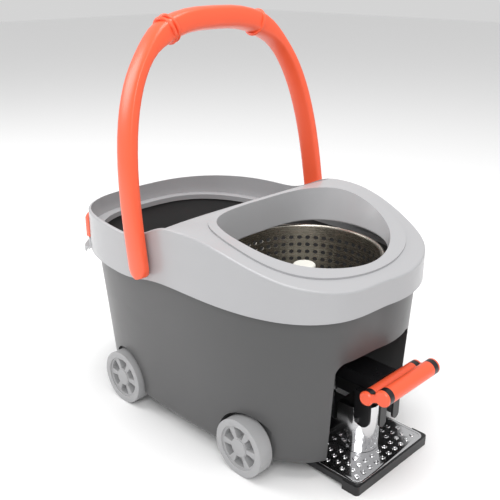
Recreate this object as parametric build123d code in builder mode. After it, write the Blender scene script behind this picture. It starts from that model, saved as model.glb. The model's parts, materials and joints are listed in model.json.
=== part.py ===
from build123d import *
import math
import os

# Wheeled foot-pedal spin-mop bucket: tub, top collar, spinning basket, pedal drive and carry handle.

os.makedirs("parts", exist_ok=True)

# ---------------------------------------------------------------------------
# Driving dimensions (mm). Origin: floor, centre of the overall footprint.
# +X runs to the foot pedal, +Y to the left-hand side, +Z up.
# ---------------------------------------------------------------------------
collar_front = 222.0        # X of the collar's front end
collar_rear = -235.0        # X of the collar's rear end
collar_half_width = 149.0
plan_exponent = 3.0         # squareness of the plan outline
collar_wall = 3.0
rim_height = 257.0          # top of the rear rim, beside the handle
rim_fall = 6.0              # how much lower it is at the rear end
deck_height = 284.0         # highest line of the deck
deck_front_height = 241.0   # deck at the front end
skirt_rear_height = 200.0   # lower edge of the collar at the rear
skirt_front_height = 211.0  # lower edge of the collar at the front
deck_thickness = 3.0
deck_rear_edge = -4.0       # X of the deck's rear edge on the centre line
grip_reach = 9.0            # rear lip, outside the collar
deck_rear_bow = 20.0        # how far that edge curves forward at the sides
ledge_height = 228.0        # top of the inner ledge that sits on the tub
ledge_thickness = 3.0
ledge_inset = 16.0

tub_wall = 2.6
tub_floor_height = 20.0
tub_floor_thickness = 3.0
tub_gap = 4.0               # free space between tub and collar skirt
tub_bottom_rear = -205.0
tub_bottom_front = 205.0
tub_bottom_half_width = 131.0

chamber_rear = 16.0         # dry chamber under the basket, open at the front
chamber_half_width = 70.0
chamber_height = 152.0
chamber_corner = 14.0

basket_x = 93.0
basket_rim_radius = 96.7
basket_rim_height = 239.0
basket_floor_height = 164.0
basket_floor_radius = 84.0
basket_wall = 1.0
rim_bead = 2.6
hub_height = 221.0
shaft_radius = 5.0
running_gap = 0.05
clear_gap = 0.4

wheel_radius = 36.4
wheel_width = 20.0
wheel_face = 138.0          # outer face from the centre plane
front_wheel_x = 117.5
rear_wheel_x = -107.0
wheel_well_gap = 4.0
axle_radius = 4.0

handle_pivot_x = -25.0
handle_pivot_height = 230.0
handle_rise = 272.0         # pivot to the crown's centre line
handle_lean = 8.0           # degrees, towards the rear
leg_width = 26.0
leg_thickness = 13.0
handle_gap = 4.0            # free space between a leg and the collar's side

pedal_pivot_x = 112.0
pedal_pivot_height = 112.0
pedal_pin_radius = 4.0
treadle_x = 250.4
treadle_height = 122.8
treadle_radius = 9.6
treadle_half_length = 51.5
treadle_rear_radius = 8.4
treadle_bar_pitch = 21.0
treadle_bar_drop = 8.8

tray_height = 12.0
tray_half_width = 70.0
tray_front = 241.0
tray_pad_length = 22.0
plate_thickness = 1.5
plate_rear = 150.0
plate_lip = 5.0
bump_radius = 3.0
bump_height = 1.4
bump_pitch = 11.0

tower_radius = 24.0
tower_centre_x = 188.0
tower_height = 74.0
cover_height = 48.0
cover_rear = 131.0
sheet = 1.5

gear_module = 1.0
rack_pinion_teeth = 12
step_teeth = 44
output_teeth = 20
rack_level = 22.0
gear_face = 8.0
step_level = 32.0
gearbox_rear = 30.0
gearbox_front = 130.0
gearbox_half_width = 30.0
gearbox_wall = 2.5
gearbox_floor = 20.0
gearbox_split = 31.0
gearbox_height = 46.0

# ---------------------------------------------------------------------------
# Values worked out from the driving dimensions
# ---------------------------------------------------------------------------
handle_half_span = collar_half_width + handle_gap + leg_thickness / 2
grip_radius = math.hypot(leg_width, leg_thickness) / 2 + clear_gap
footprint_centre = (treadle_x + treadle_radius + collar_rear - grip_reach) / 2
plan_centre = (collar_front + collar_rear) / 2
plan_length = (collar_front - collar_rear) / 2
tub_top = ledge_height - ledge_thickness
rack_pitch_radius = gear_module * rack_pinion_teeth / 2
step_pitch_radius = gear_module * step_teeth / 2
output_pitch_radius = gear_module * output_teeth / 2
step_x = basket_x - step_pitch_radius - output_pitch_radius
rack_pin_height = rack_level + gear_face / 2
plate_top = tray_height + plate_thickness


def superellipse(centre, length, half_width, inset, count=20):
    """Closed list of plan points, inset evenly from the outline."""
    points = []
    for step in range(count):
        angle = 2 * math.pi * step / count
        cos_part = math.cos(angle)
        sin_part = math.sin(angle)
        power = 2 / plan_exponent
        x = math.copysign(abs(cos_part) ** power, cos_part)
        y = math.copysign(abs(sin_part) ** power, sin_part)
        points.append((centre + (length - inset) * x, (half_width - inset) * y))
    return points


def plan_sketch(height, inset, centre=plan_centre, length=plan_length, half_width=collar_half_width):
    """Plan outline as a face at the given height."""
    with BuildSketch(Plane.XY.offset(height)) as sketch:
        with BuildLine():
            Spline(*superellipse(centre, length, half_width, inset), periodic=True)
        make_face()
    return sketch.sketch


def deck_line(offset):
    """Side-view points of the rim, the rise behind the deck and the deck's fall to the front."""
    return [
        (collar_rear - 30, rim_height - rim_fall + offset),
        (-200, rim_height - rim_fall / 2 + offset),
        (-140, rim_height + offset),
        (-90, rim_height + 0.3 + offset),
        (-50, rim_height + 2.5 + offset),
        (-20, rim_height + 14 + offset),
        (5, deck_height - 3 + offset),
        (30, deck_height + offset),
        (62, deck_height - 1 + offset),
        (105, deck_height - 10 + offset),
        (160, deck_height - 27 + offset),
        (collar_front, deck_front_height + offset),
        (collar_front + 30, deck_front_height - 8 + offset),
    ]


def side_block(top_offset, bottom_points):
    """Full-width block between the deck line and a lower line, both seen from the side."""
    top = deck_line(top_offset)
    with BuildPart() as block:
        with BuildSketch(Plane.XZ):
            with BuildLine():
                Spline(*top)
                Line(top[-1], bottom_points[-1])
                if len(bottom_points) > 2:
                    Spline(*bottom_points)
                else:
                    Line(*bottom_points)
                Line(bottom_points[0], top[0])
            make_face()
        extrude(amount=collar_half_width + 40, both=True)
    return block.part


def skirt_line():
    """Lower edge of the collar: a soft step up in front of the handle."""
    return [
        (collar_rear - 30, skirt_rear_height - 3),
        (-200, skirt_rear_height - 2),
        (-140, skirt_rear_height),
        (-90, skirt_rear_height + 0.3),
        (-60, skirt_rear_height + 2),
        (-20, skirt_front_height - 1.5),
        (20, skirt_front_height + 1.5),
        (70, skirt_front_height + 1),
        (120, skirt_front_height),
        (collar_front + 30, skirt_front_height),
    ]


def flat_line(height):
    return [(collar_rear - 30, height), (collar_front + 30, height)]


def deck_zone(extra):
    """Everything in front of the deck's bowed rear edge, as a tall block."""
    with BuildPart() as zone:
        with BuildSketch(Plane.XY.offset(tub_top - 20)):
            with BuildLine():
                far = collar_half_width + 20
                edge = deck_rear_edge + extra
                ThreePointArc((edge + deck_rear_bow, -far), (edge, 0), (edge + deck_rear_bow, far))
                Polyline((edge + deck_rear_bow, far), (collar_front + 20, far),
                         (collar_front + 20, -far), (edge + deck_rear_bow, -far))
            make_face()
        extrude(amount=120)
    return zone.part


def opening_points(grow):
    """Deck opening over the basket: straight at the back, round at the front."""
    half = [(20, 0), (22, 50), (32, 84), (49, 104), (73, 114), (101, 115), (132, 109),
            (161, 92), (179, 69), (190, 40), (195, 0)]
    return grown(half, grow)


def opening_foot_points(grow):
    """Foot of the guard wall, just above the basket's rim."""
    half = [(22, 0), (24, 42), (33, 70), (50, 88), (72, 97), (95, 99), (125, 93),
            (155, 76), (175, 52), (187, 26), (191, 0)]
    return grown(half, grow)


def grown(half, grow):
    """Mirror a half outline about X and push it outward by a distance."""
    outline = half + [(x, -y) for x, y in reversed(half[1:-1])]
    centre = (basket_x, 0)
    pushed = []
    for x, y in outline:
        reach = math.hypot(x - centre[0], y - centre[1])
        scale = (reach + grow) / reach
        pushed.append((centre[0] + (x - centre[0]) * scale, centre[1] + (y - centre[1]) * scale))
    return pushed


guard_foot_height = basket_rim_height + 5
guard_top_height = deck_height + 8


def guard_solid(grow):
    """Tapered plug the shape of the guard's inside, grown by a distance."""
    with BuildPart() as plug:
        with BuildSketch(Plane.XY.offset(guard_foot_height)):
            with BuildLine():
                Spline(*opening_foot_points(grow), periodic=True)
            make_face()
        with BuildSketch(Plane.XY.offset(guard_top_height)):
            with BuildLine():
                Spline(*opening_points(grow), periodic=True)
            make_face()
        loft()
    return plug.part


def save(part, label):
    """Move a finished piece so that the footprint is centred on the origin, and write it."""
    placed = part.moved(Location((-footprint_centre, 0, 0)))
    placed.label = label
    export_step(placed, f"parts/{label}.step")
    print(label, len(placed.solids()), round(placed.volume))


# ---------------------------------------------------------------------------
# Tub: one moulding with a dry chamber under the basket and four wheel wells
# ---------------------------------------------------------------------------
wheel_places = {
    "rear_right": (rear_wheel_x, -1),
    "rear_left": (rear_wheel_x, 1),
    "front_right": (front_wheel_x, -1),
    "front_left": (front_wheel_x, 1),
}
well_radius = wheel_radius + wheel_well_gap
well_depth_face = wheel_face - wheel_width - wheel_well_gap


def wheel_wells(grow):
    """Four short cylinders from inside each wheel out past the tub wall."""
    with BuildPart() as wells:
        for wheel_x, side in wheel_places.values():
            face = Plane((wheel_x, side * (well_depth_face - grow), wheel_radius), z_dir=(0, side, 0))
            with BuildSketch(face):
                Circle(well_radius + grow)
            extrude(amount=60)
    return wells.part


def chamber(grow):
    """Dry chamber, grown by a distance on its closed sides."""
    half = chamber_half_width + grow
    top = chamber_height + grow
    with BuildPart() as space:
        with BuildSketch(Plane.YZ.offset(chamber_rear - grow)) as section:
            with BuildLine():
                Polyline((-half, -10), (-half, top), (half, top), (half, -10), close=True)
            make_face()
            fillet(section.vertices().group_by(Axis.Y)[-1], chamber_corner)
        extrude(amount=collar_front + 60)
    return space.part


def tub_loft(inset, bottom, top):
    """Tapered tub outline between two heights, inset by the wall."""
    low_centre = (tub_bottom_front + tub_bottom_rear) / 2
    low_length = (tub_bottom_front - tub_bottom_rear) / 2
    rim_inset = collar_wall + tub_gap + inset
    with BuildPart() as body:
        add(plan_sketch(bottom, inset, low_centre, low_length, tub_bottom_half_width))
        add(plan_sketch(top, rim_inset))
        loft()
    return body.part


shaft_hole_radius = shaft_radius + 3.5
boss_rise = 2.4

tub_outside = tub_loft(0, tub_floor_height, tub_top)
tub_inside = tub_loft(tub_wall, tub_floor_height + tub_floor_thickness, tub_top + 1)
tub_inside -= wheel_wells(tub_wall)
tub_inside -= chamber(tub_wall)
wells = wheel_wells(0)
dry_chamber = chamber(0)

with BuildPart() as bucket_body:
    add(tub_outside)
    fillet(bucket_body.faces().sort_by(Axis.Z)[0].edges(), 9)
    add(wells, mode=Mode.SUBTRACT)
    add(dry_chamber, mode=Mode.SUBTRACT)
    add(tub_inside, mode=Mode.SUBTRACT)
    with Locations((basket_x, 0, chamber_height)):
        Cylinder(shaft_hole_radius + 4, tub_wall + boss_rise, align=(Align.CENTER, Align.CENTER, Align.MIN))
        Cylinder(shaft_hole_radius, 30, mode=Mode.SUBTRACT)
save(bucket_body.part, "bucket_body")

# ---------------------------------------------------------------------------
# Top collar: skirt, ledge over the tub's edge and the deck around the basket
# ---------------------------------------------------------------------------
guard_wall = 2.5
guard_flange = 6.0           # rim of the guard, outside its wall
guard_edge_radius = 1.8
crease_edges = 2            # the outline is drawn as this many edges
crease_radius = 2.5         # rounding where the deck turns down into the collar's side
guard_flange_thickness = 2.2
inner_skirt_drop = 4.0
pivot_pin_radius = 6.0
pivot_head_radius = 9.0
pivot_head_length = 3.0

cavity = extrude(plan_sketch(skirt_rear_height - 20, collar_wall), 160)
under_deck = cavity & side_block(-deck_thickness, flat_line(skirt_rear_height - 15))
open_rear = cavity - deck_zone(0)
ledge_ring = extrude(plan_sketch(tub_top, collar_wall - 0.2), ledge_thickness)
ledge_ring -= extrude(plan_sketch(tub_top - 1, ledge_inset), ledge_thickness + 2)
inner_skirt = extrude(plan_sketch(tub_top - inner_skirt_drop, ledge_inset - collar_wall), inner_skirt_drop + 1)
inner_skirt -= extrude(plan_sketch(tub_top - inner_skirt_drop - 1, ledge_inset), inner_skirt_drop + 3)
deck_lip = extrude(plan_sketch(tub_top + 2, collar_wall - 0.2), 90)
deck_lip &= side_block(-deck_thickness / 2, [(x, z - 16) for x, z in deck_line(0)])
deck_lip &= deck_zone(0) - deck_zone(deck_thickness)
collar_side = side_block(0, skirt_line())
guard_hole = guard_solid(guard_wall + clear_gap)

with BuildPart() as top_collar:
    add(plan_sketch(skirt_rear_height - 10, 0))
    extrude(amount=120)
    add(collar_side, mode=Mode.INTERSECT)
    long_edges = [edge for edge in top_collar.edges() if edge.length > 1.3 * (collar_front - collar_rear)]
    fillet(ShapeList(long_edges).sort_by(Axis.Z)[-crease_edges:], crease_radius)
    add(under_deck, mode=Mode.SUBTRACT)
    add(open_rear, mode=Mode.SUBTRACT)
    add(deck_lip)
    add(guard_hole, mode=Mode.SUBTRACT)
    add(ledge_ring)
    add(inner_skirt)
    with BuildSketch(Plane((handle_pivot_x, 0, handle_pivot_height), z_dir=(0, 1, 0))):
        Circle(pivot_pin_radius + running_gap)
    extrude(amount=collar_half_width + 10, both=True, mode=Mode.SUBTRACT)
    with BuildSketch(Plane((handle_pivot_x, 0, handle_pivot_height), z_dir=(0, 1, 0))):
        Circle(pivot_head_radius + clear_gap)
    extrude(amount=collar_half_width - collar_wall - 0.1, both=True, mode=Mode.SUBTRACT)
save(top_collar.part, "top_collar")

# Splash guard: separate ring dropped into the deck, its wall ending just over the basket's rim
flange_block = side_block(guard_flange_thickness, [(x, z + 0.2) for x, z in deck_line(0)])
wall_block = side_block(guard_flange_thickness, flat_line(guard_foot_height - 1))
guard_ring = guard_solid(guard_wall) & wall_block
guard_inside = guard_solid(0)

with BuildPart() as basket_guard:
    with BuildSketch(Plane.XY.offset(guard_foot_height)):
        with BuildLine():
            Spline(*opening_points(guard_wall + guard_flange), periodic=True)
        make_face()
    extrude(amount=60)
    add(flange_block, mode=Mode.INTERSECT)
    add(guard_ring)
    add(guard_inside, mode=Mode.SUBTRACT)
    guard_loops = [edge for edge in basket_guard.edges() if edge.length > 2.5 * (basket_rim_radius * 2)]
    fillet(ShapeList(guard_loops).sort_by(Axis.Z)[-1], guard_edge_radius)
save(basket_guard.part, "basket_guard")

# ---------------------------------------------------------------------------
# Rear pouring grip: a curled lip under the collar's rear with a coloured pad above it
# ---------------------------------------------------------------------------
grip_half_span = 118.0
pad_height = 28.0
pad_centre_height = 226.0
pad_thickness = 5.0


def rear_band(inner, outer, low, high, half_width):
    """Strip that follows the collar's rear outline."""
    height = high - low
    band = extrude(plan_sketch(low, -outer), height)
    band -= extrude(plan_sketch(low - 1, -inner), height + 2)
    window = Pos(collar_rear, 0, low + height / 2) * Box(2 * half_width, 2 * half_width, height)
    return band & window


grip_strap = rear_band(0.3, 2.6, 196, pad_centre_height - pad_height / 2 - clear_gap, grip_half_span)
grip_shelf = rear_band(2.4, grip_reach, 194, 197.2, grip_half_span)
grip_bead = rear_band(grip_reach - 2.4, grip_reach, 189, 194.2, grip_half_span)
grip_pad = rear_band(0.3, pad_thickness, pad_centre_height - pad_height / 2, pad_centre_height + pad_height / 2,
                     grip_half_span)

with BuildPart() as rear_grip:
    add(grip_strap)
    add(grip_shelf)
    add(grip_bead)
save(rear_grip.part, "rear_grip")

with BuildPart() as rear_grip_pad:
    add(grip_pad)
save(rear_grip_pad.part, "rear_grip_pad")

# ---------------------------------------------------------------------------
# Carry handle: two flat legs that grow out of a round crown, pinned to the collar
# ---------------------------------------------------------------------------
handle_plane = Plane(origin=(handle_pivot_x, 0, handle_pivot_height),
                     x_dir=(0, 1, 0),
                     z_dir=(math.cos(math.radians(handle_lean)), 0, math.sin(math.radians(handle_lean))))
crown_exponent = 2.9
leg_foot = 16.0


def handle_points(offset, count=24):
    """Crown line seen square on, offset outward."""
    points = []
    for step in range(count + 1):
        angle = math.pi * step / count
        power = 2 / crown_exponent
        cos_part = math.cos(angle)
        y = math.copysign(abs(cos_part) ** power, cos_part) * (handle_half_span + offset)
        z = abs(math.sin(angle)) ** power * (handle_rise + offset)
        points.append((y, z))
    return points


with BuildPart() as carry_handle:
    with BuildSketch(handle_plane):
        with BuildLine():
            outer = handle_points(leg_thickness / 2)
            inner = handle_points(-leg_thickness / 2)
            Spline(*outer)
            Line(outer[-1], inner[-1])
            Spline(*inner)
            Line(inner[0], outer[0])
        make_face()
        for side in (-1, 1):
            with Locations((side * handle_half_span, -leg_foot / 2 + 0.5)):
                Rectangle(leg_thickness, leg_foot + 1)
    extrude(amount=leg_width / 2, both=True)
save(carry_handle.part, "carry_handle")

# Grip sleeve and its end collars, threaded on the crown of the handle
crown = handle_points(0, 48)
grip_half_length = 78.0
ring_rise = 2.0             # how far an end ring stands out of the sleeve
ring_gap = 0.3
ring_length_along = 14.0


def crown_tube(radius_outer, low, high):
    """Round sleeve along the crown between two spans, measured along Y."""
    path_points = [(y, z) for y, z in crown if low <= y <= high]
    with BuildLine(handle_plane) as path:
        Spline(*path_points)
    start = path.line @ 0
    heading = path.line % 0
    with BuildPart() as tube:
        with BuildSketch(Plane(origin=start, z_dir=heading)):
            Circle(radius_outer)
        sweep(path=path.line)
    return tube.part


sleeve = crown_tube(grip_radius, -grip_half_length, grip_half_length)
sleeve -= carry_handle.part
with BuildPart() as handle_grip:
    add(sleeve)
save(handle_grip.part, "handle_grip")

ring_low = grip_half_length + ring_gap
near_collar = crown_tube(grip_radius + ring_rise, ring_low, ring_low + ring_length_along) - carry_handle.part
with BuildPart() as grip_rings:
    add(near_collar)
    mirror(about=Plane.XZ)
save(grip_rings.part, "grip_rings")

# Pivot pins: headed inside the collar and pushed into the handle's feet
head_face_y = collar_half_width - collar_wall - pivot_head_length - clear_gap
with BuildPart() as handle_pivot_pins:
    for side in (-1, 1):
        inner_end = Plane((handle_pivot_x, side * head_face_y, handle_pivot_height), z_dir=(0, side, 0))
        with BuildSketch(inner_end):
            Circle(pivot_pin_radius)
        extrude(amount=handle_half_span - leg_thickness / 2 - head_face_y - running_gap)
        with BuildSketch(inner_end):
            Circle(pivot_head_radius)
        extrude(amount=pivot_head_length)
save(handle_pivot_pins.part, "handle_pivot_pins")

# ---------------------------------------------------------------------------
# Wheels: spoked plastic wheels on stub axles, each with a trumpet fairing
# ---------------------------------------------------------------------------
wheel_rim_depth = 9.0
hub_radius = 11.0
spoke_count = 6
spoke_width = 7.0
dish_depth = 5.0
hub_cap_radius = 7.0
fairing_length = 27.0
fairing_lift = 1.5          # clearance of its lower edge over the floor
fairing_face = wheel_face - wheel_width - clear_gap
tub_block = tub_loft(0, tub_floor_height, tub_top) - wheel_wells(0)


def wheel_plane(wheel_x, side, distance):
    return Plane(origin=(wheel_x, side * distance, wheel_radius), x_dir=(1, 0, 0), z_dir=(0, side, 0))


for place, (wheel_x, side) in wheel_places.items():
    inner_face = wheel_plane(wheel_x, side, wheel_face - wheel_width)
    web_face = wheel_plane(wheel_x, side, wheel_face - wheel_width + 3)
    with BuildPart() as wheel:
        with BuildSketch(inner_face):
            Circle(wheel_radius)
            Circle(wheel_radius - wheel_rim_depth, mode=Mode.SUBTRACT)
        extrude(amount=wheel_width)
        fillet(wheel.edges().filter_by(GeomType.CIRCLE).sort_by(SortBy.RADIUS)[-2:], 2.5)
        with BuildSketch(inner_face):
            Circle(hub_radius)
        extrude(amount=wheel_width - 3)
        with BuildSketch(web_face):
            with PolarLocations(0, spoke_count):
                with Locations((wheel_radius / 2, 0)):
                    Rectangle(wheel_radius - wheel_rim_depth / 2, spoke_width)
        extrude(amount=wheel_width - 3 - dish_depth)
        with BuildSketch(web_face):
            Circle(wheel_radius - wheel_rim_depth + 0.5)
        extrude(amount=2.5)
        with BuildSketch(inner_face):
            Circle(axle_radius + running_gap)
        extrude(amount=wheel_width + 1, mode=Mode.SUBTRACT)
    save(wheel.part, f"wheel_{place}")

    with BuildPart() as hub_cap:
        with BuildSketch(wheel_plane(wheel_x, side, wheel_face - 3)):
            Circle(hub_cap_radius)
        extrude(amount=2.5)
        fillet(hub_cap.faces().sort_by(Axis.Y)[0 if side < 0 else -1].edges(), 1.2)
    save(hub_cap.part, f"hub_cap_{place}")

    trumpet = Plane(origin=(wheel_x, 0, wheel_radius), x_dir=(0, side, 0), z_dir=(side, 0, 0))
    with BuildPart() as fairing:
        with BuildSketch(trumpet):
            with BuildLine():
                mouth = (fairing_face, -wheel_radius + fairing_lift)
                tail = (fairing_face - fairing_length, -wheel_radius + tub_floor_height - 0.4)
                bend = (fairing_face - fairing_length * 0.38, -wheel_radius + fairing_lift + 9)
                ThreePointArc(mouth, bend, tail)
                Polyline(tail, (tail[0], -axle_radius), (mouth[0], -axle_radius), mouth)
            make_face()
        revolve(axis=Axis((wheel_x, 0, wheel_radius), (0, 1, 0)))
        add(tub_block, mode=Mode.SUBTRACT)
    save(fairing.part, f"wheel_fairing_{place}")

with BuildPart() as wheel_axles:
    for wheel_x, side in wheel_places.values():
        with BuildSketch(wheel_plane(wheel_x, side, wheel_face - wheel_width - wheel_well_gap)):
            Circle(axle_radius)
        extrude(amount=wheel_width + wheel_well_gap - 3.5)
save(wheel_axles.part, "wheel_axles")

# ---------------------------------------------------------------------------
# Spinning basket and its shaft
# ---------------------------------------------------------------------------
basket_axis = Plane(origin=(basket_x, 0, 0), x_dir=(1, 0, 0), z_dir=(0, -1, 0))
bowl_corner = 10.0

with BuildPart() as basket_bowl:
    with BuildSketch(basket_axis) as bowl_section:
        with BuildLine():
            rim_inner = basket_rim_radius - 2 * rim_bead + 1
            Polyline((0, basket_floor_height), (basket_floor_radius, basket_floor_height),
                     (rim_inner, basket_rim_height - rim_bead), (rim_inner - basket_wall, basket_rim_height - rim_bead),
                     (basket_floor_radius - basket_wall, basket_floor_height + basket_wall),
                     (0, basket_floor_height + basket_wall), close=True)
        make_face()
        with Locations((basket_rim_radius - rim_bead, basket_rim_height - rim_bead)):
            Circle(rim_bead)
    revolve(axis=Axis((basket_x, 0, 0), (0, 0, 1)))
    with BuildSketch(Plane.XY.offset(basket_floor_height - 1)):
        with Locations((basket_x, 0)):
            Circle(20.3)
            with PolarLocations(50, 12):
                SlotOverall(36, 5)
    extrude(amount=basket_wall + 2, mode=Mode.SUBTRACT)
save(basket_bowl.part, "basket_bowl")

base_radius = 30.0
with BuildPart() as basket_base:
    with BuildSketch(Plane.XY.offset(basket_floor_height - 4)):
        with Locations((basket_x, 0)):
            Circle(base_radius)
            Circle(shaft_radius, mode=Mode.SUBTRACT)
    extrude(amount=4)
    with BuildSketch(Plane.XY.offset(basket_floor_height)):
        with Locations((basket_x, 0)):
            Circle(20)
            Circle(shaft_radius, mode=Mode.SUBTRACT)
    extrude(amount=basket_wall)
save(basket_base.part, "basket_base")

hub_steps = ((24.0, basket_floor_height + basket_wall, 186.0), (16.0, 186.0, 210.0), (14.0, 210.0, hub_height))
with BuildPart() as basket_hub:
    for radius, low, high in hub_steps:
        with BuildSketch(Plane.XY.offset(low)):
            with Locations((basket_x, 0)):
                Circle(radius)
        extrude(amount=high - low)
    fillet(basket_hub.faces().sort_by(Axis.Z)[-1].edges(), 3)
    with BuildSketch(Plane.XY.offset(basket_floor_height)):
        with Locations((basket_x, 0)):
            Circle(shaft_radius)
    extrude(amount=hub_height - basket_floor_height - 5, mode=Mode.SUBTRACT)
save(basket_hub.part, "basket_hub")

shaft_foot = gearbox_floor - 6.0
with BuildPart() as drive_shaft:
    with BuildSketch(Plane.XY.offset(shaft_foot)):
        with Locations((basket_x, 0)):
            Circle(shaft_radius)
    extrude(amount=hub_height - 6 - shaft_foot)
save(drive_shaft.part, "drive_shaft")


def ring(height, length, outer, inner, centre_x=basket_x):
    with BuildPart() as body:
        with BuildSketch(Plane.XY.offset(height)):
            with Locations((centre_x, 0)):
                Circle(outer)
                Circle(inner, mode=Mode.SUBTRACT)
        extrude(amount=length)
    return body.part


boss_top = chamber_height + tub_wall + boss_rise
seal_height = 2.4
save(ring(chamber_height + 0.5, boss_top - chamber_height - 1, shaft_hole_radius, shaft_radius + running_gap),
     "shaft_bush")
save(ring(boss_top, seal_height, shaft_hole_radius + 3, shaft_radius + running_gap), "shaft_seal")
save(ring(gearbox_floor - 6, 6, shaft_radius + 4, shaft_radius + running_gap), "lower_bearing")

# ---------------------------------------------------------------------------
# Gears: rack, step gear and output gear, all upright and meshing in plan
# ---------------------------------------------------------------------------
tooth_tip = 0.8
tooth_root = 1.15
tooth_share = 0.40          # tooth width at the pitch line, as a share of the pitch


def gear_outline(teeth, phase):
    """Straight-flanked teeth on a pitch circle, as a closed list of points."""
    pitch_radius = gear_module * teeth / 2
    pitch_angle = 2 * math.pi / teeth
    half = tooth_share * pitch_angle / 2
    slope = 0.36 / pitch_radius
    points = []
    for tooth in range(teeth):
        middle = tooth * pitch_angle + phase
        for angle, radius in ((-half - slope * tooth_root, pitch_radius - tooth_root * gear_module),
                              (-half + slope * tooth_tip, pitch_radius + tooth_tip * gear_module),
                              (half - slope * tooth_tip, pitch_radius + tooth_tip * gear_module),
                              (half + slope * tooth_root, pitch_radius - tooth_root * gear_module)):
            points.append((radius * math.cos(middle + angle), radius * math.sin(middle + angle)))
    return points


sleeve_radius = 7.4
step_pin_radius = 3.0

with BuildPart() as output_gear:
    with BuildSketch(Plane((basket_x, 0, step_level))):
        Polygon(*gear_outline(output_teeth, math.pi / output_teeth), align=None)
        Circle(sleeve_radius, mode=Mode.SUBTRACT)
    extrude(amount=gear_face)
save(output_gear.part, "output_gear")
save(ring(step_level, gear_face, sleeve_radius, shaft_radius + running_gap), "clutch_sleeve")

with BuildPart() as step_gear:
    with BuildSketch(Plane((step_x, 0, rack_level))):
        Polygon(*gear_outline(rack_pinion_teeth, 0), align=None)
    extrude(amount=step_level - rack_level)
    with BuildSketch(Plane((step_x, 0, step_level))):
        Polygon(*gear_outline(step_teeth, 0), align=None)
    extrude(amount=gear_face)
    with BuildSketch(Plane((step_x, 0, rack_level - 1))):
        Circle(step_pin_radius + running_gap)
    extrude(amount=gear_face + 20, mode=Mode.SUBTRACT)
save(step_gear.part, "step_gear")

with BuildPart() as step_gear_pin:
    with BuildSketch(Plane((step_x, 0, gearbox_floor - 5))):
        Circle(step_pin_radius)
    extrude(amount=gearbox_height - gearbox_wall - 0.5 - gearbox_floor + 5)
save(step_gear_pin.part, "step_gear_pin")

pedal_travel = math.radians(12)
rack_lever = pedal_pivot_height - rack_pin_height
rack_travel = rack_lever * pedal_travel
rack_pitch = math.pi * gear_module
rack_pin_radius = 2.5
rack_back = 8.5
rack_tooth_count = 9
rack_front = pedal_pivot_x + 6
slot_depth = 3.0
root_line = -rack_pitch_radius - tooth_root * gear_module

with BuildPart() as drive_rack:
    with BuildSketch(Plane((0, 0, rack_level))):
        with Locations(((step_x - 8 + rack_front) / 2, root_line - rack_back / 2)):
            Rectangle(rack_front - step_x + 8, rack_back)
        for tooth in range(rack_tooth_count):
            middle = step_x + (tooth - 1.5) * rack_pitch
            low = rack_pitch * tooth_share / 2 + 0.36 * tooth_root
            high = rack_pitch * tooth_share / 2 - 0.36 * tooth_tip
            Polygon((middle - low, root_line - 0.1), (middle + low, root_line - 0.1),
                    (middle + high, -rack_pitch_radius + tooth_tip * gear_module),
                    (middle - high, -rack_pitch_radius + tooth_tip * gear_module), align=None)
    extrude(amount=gear_face)
    with BuildSketch(Plane((pedal_pivot_x, 0, rack_level - 1))):
        with Locations((0, root_line - rack_back / 2 - slot_depth)):
            Rectangle(2 * rack_pin_radius + 0.8, rack_back)
    extrude(amount=gear_face + 2, mode=Mode.SUBTRACT)
save(drive_rack.part, "drive_rack")

# ---------------------------------------------------------------------------
# Gearbox shells, pivot bracket and steel cover
# ---------------------------------------------------------------------------
arm_thickness = 5.0
arm_outer_y = root_line - rack_back - 1.8 - arm_thickness
arm_clearance = 1.5
window_rear = basket_x - 2
window_front = gearbox_front - 4
boss_radius = 4.0
screw_radius = 1.5
screw_head_radius = 2.8
screw_head_height = 1.6
screw_depth = 20.0
guide_gap = 0.3
guide_width = 3.5
gearbox_corner = 6.0
gearbox_centre = (gearbox_rear + gearbox_front) / 2
gearbox_length = gearbox_front - gearbox_rear
boss_inset = gearbox_wall + boss_radius - 1
boss_places = [(gearbox_centre + along * (gearbox_length / 2 - boss_inset), across * (gearbox_half_width - boss_inset))
               for along in (-1, 1) for across in (-1, 1)]


def gearbox_box(low, high, shrink):
    """Rounded plan of the gearbox between two heights, shrunk by a wall."""
    with BuildPart() as body:
        with BuildSketch(Plane.XY.offset(low)):
            with Locations((gearbox_centre, 0)):
                RectangleRounded(gearbox_length - 2 * shrink, 2 * (gearbox_half_width - shrink),
                                 gearbox_corner - shrink)
        extrude(amount=high - low)
    return body.part


def upright(low, high, radius, places):
    """Upright cylinders at the given plan positions."""
    with BuildPart() as body:
        with BuildSketch(Plane.XY.offset(low)):
            with Locations(*places):
                Circle(radius)
        extrude(amount=high - low)
    return body.part


bearing_seat = gearbox_floor - 6.0
base_block = gearbox_box(tray_height, gearbox_split, 0)
base_void = gearbox_box(gearbox_floor, gearbox_split + 1, gearbox_wall)
base_void -= upright(gearbox_floor - 1, gearbox_split + 2, boss_radius, boss_places)
cover_block = gearbox_box(gearbox_split, gearbox_height, 0)
cover_void = gearbox_box(gearbox_split - 1, gearbox_height - gearbox_wall, gearbox_wall)
cover_void -= upright(gearbox_split - 2, gearbox_height + 1, boss_radius, boss_places)
screw_holes = upright(gearbox_height - screw_depth, gearbox_height + 1, screw_radius, boss_places)
bearing_pocket = upright(bearing_seat, gearbox_split, shaft_radius + 4, [(basket_x, 0)])
pin_socket = upright(gearbox_floor - 5, gearbox_split, step_pin_radius, [(step_x, 0)])
cover_shaft_hole = upright(gearbox_split, gearbox_height + 1, shaft_radius + 0.5, [(basket_x, 0)])
guide_y = root_line - rack_back - guide_gap - guide_width

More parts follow.
